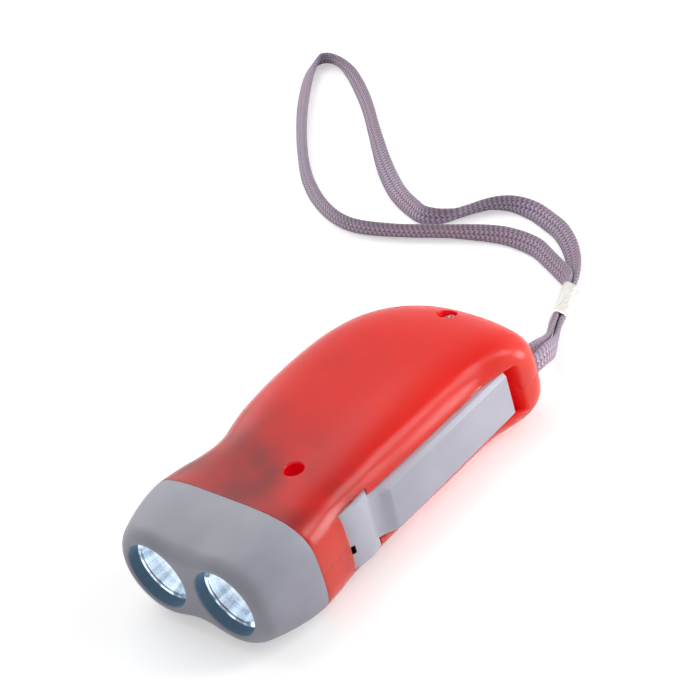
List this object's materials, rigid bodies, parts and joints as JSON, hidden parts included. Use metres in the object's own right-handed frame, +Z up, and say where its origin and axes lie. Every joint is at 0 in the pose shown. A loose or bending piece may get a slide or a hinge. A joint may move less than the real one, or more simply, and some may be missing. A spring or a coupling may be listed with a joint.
{
  "type": "hand crank flashlight",
  "caption": "Squeeze dynamo flashlight: lamp head with side-by-side bores, translucent shell, hinged side lever driving a geared flywheel generator, and a wrist strap.",
  "frame": {"origin": "on the flat underside that the flashlight rests on, midway between the lamp rims and the tail", "axes": "+Z up out of the rest flat, +Y from the lamps to the tail, +X towards the squeeze lever"},
  "size_m": [0.1878, 0.224, 0.0288],
  "materials": {
    "shell": "milky translucent, glossy",
    "bezel": "satin",
    "lens": "clear, polished",
    "reflector": "metallised mirror",
    "led": "clear epoxy",
    "board": "solder resist",
    "electronics": "matt",
    "lead_red": "satin",
    "lead_black": "satin",
    "steel": "bright zinc",
    "copper": "enamelled copper wire",
    "gear": "natural nylon",
    "magnet": "sintered ferrite, matt",
    "lever": "satin",
    "lock": "matt",
    "crimp": "bright",
    "strap": "knitted tape"
  },
  "bodies": {
    "housing": {"upper_shell": "shell", "lower_shell": "shell", "lamp_bezel": "bezel", "lens_left": "lens", "lens_right": "lens", "reflector_left": "reflector", "reflector_right": "reflector", "led_left": "led", "led_right": "led", "circuit_board": "board", "smoothing_capacitor": "electronics", "bridge_rectifier": "electronics", "coil_lead_red": "lead_red", "coil_lead_black": "lead_black", "lever_pivot_pin": "steel", "lever_return_spring": "steel", "drive_axle": "steel", "idler_axle": "steel", "rotor_axle": "steel", "stator_claws_lower": "steel", "stator_claws_upper": "steel", "coil_bobbin": "gear", "coil_winding": "copper", "front_screw": "steel", "rear_screw": "steel", "strap_crimp": "crimp", "strap_tether": "strap", "strap_loop": "strap"},
    "lever": {"squeeze_lever": "lever", "sector_gear": "gear"},
    "drive_train": {"drive_pinion": "gear", "drive_gear": "gear"},
    "idler": {"idler_gear": "gear"},
    "rotor": {"rotor_pinion": "gear", "flywheel": "steel", "rotor_magnet": "magnet"},
    "lock": {"lock_slider": "lock"}
  },
  "joints": [
    {"name": "rotor_spin", "type": "hinge", "parent": "housing", "child": "rotor", "pos_m": [-0.01137, 0.01854, 0.0142], "axis": [0, 0, -1], "range_deg": [-2742.6, 0]},
    {"name": "lever_hinge", "type": "hinge", "parent": "housing", "child": "lever", "pos_m": [0.0195, -0.0192, 0.0142], "axis": [0, 0, -1], "range_deg": [0, 22]},
    {"name": "drive_spin", "type": "hinge", "parent": "housing", "child": "drive_train", "pos_m": [0.00673, 0.0124, 0.0142], "axis": [0, 0, -1], "range_deg": [-165, 0]},
    {"name": "idler_spin", "type": "hinge", "parent": "housing", "child": "idler", "pos_m": [0.00104, 0.02406, 0.0142], "axis": [0, 0, -1], "range_deg": [0, 623.34]},
    {"name": "lock_slide", "type": "slide", "parent": "housing", "child": "lock", "axis": [0, 1, 0], "range_m": [0, 0.001]}
  ],
  "couplings": [
    {"joint": "idler_spin", "follows": "rotor_spin", "ratio": -0.22727},
    {"joint": "drive_spin", "follows": "rotor_spin", "ratio": 0.06016},
    {"joint": "lever_hinge", "follows": "rotor_spin", "ratio": -0.0080214}
  ]
}
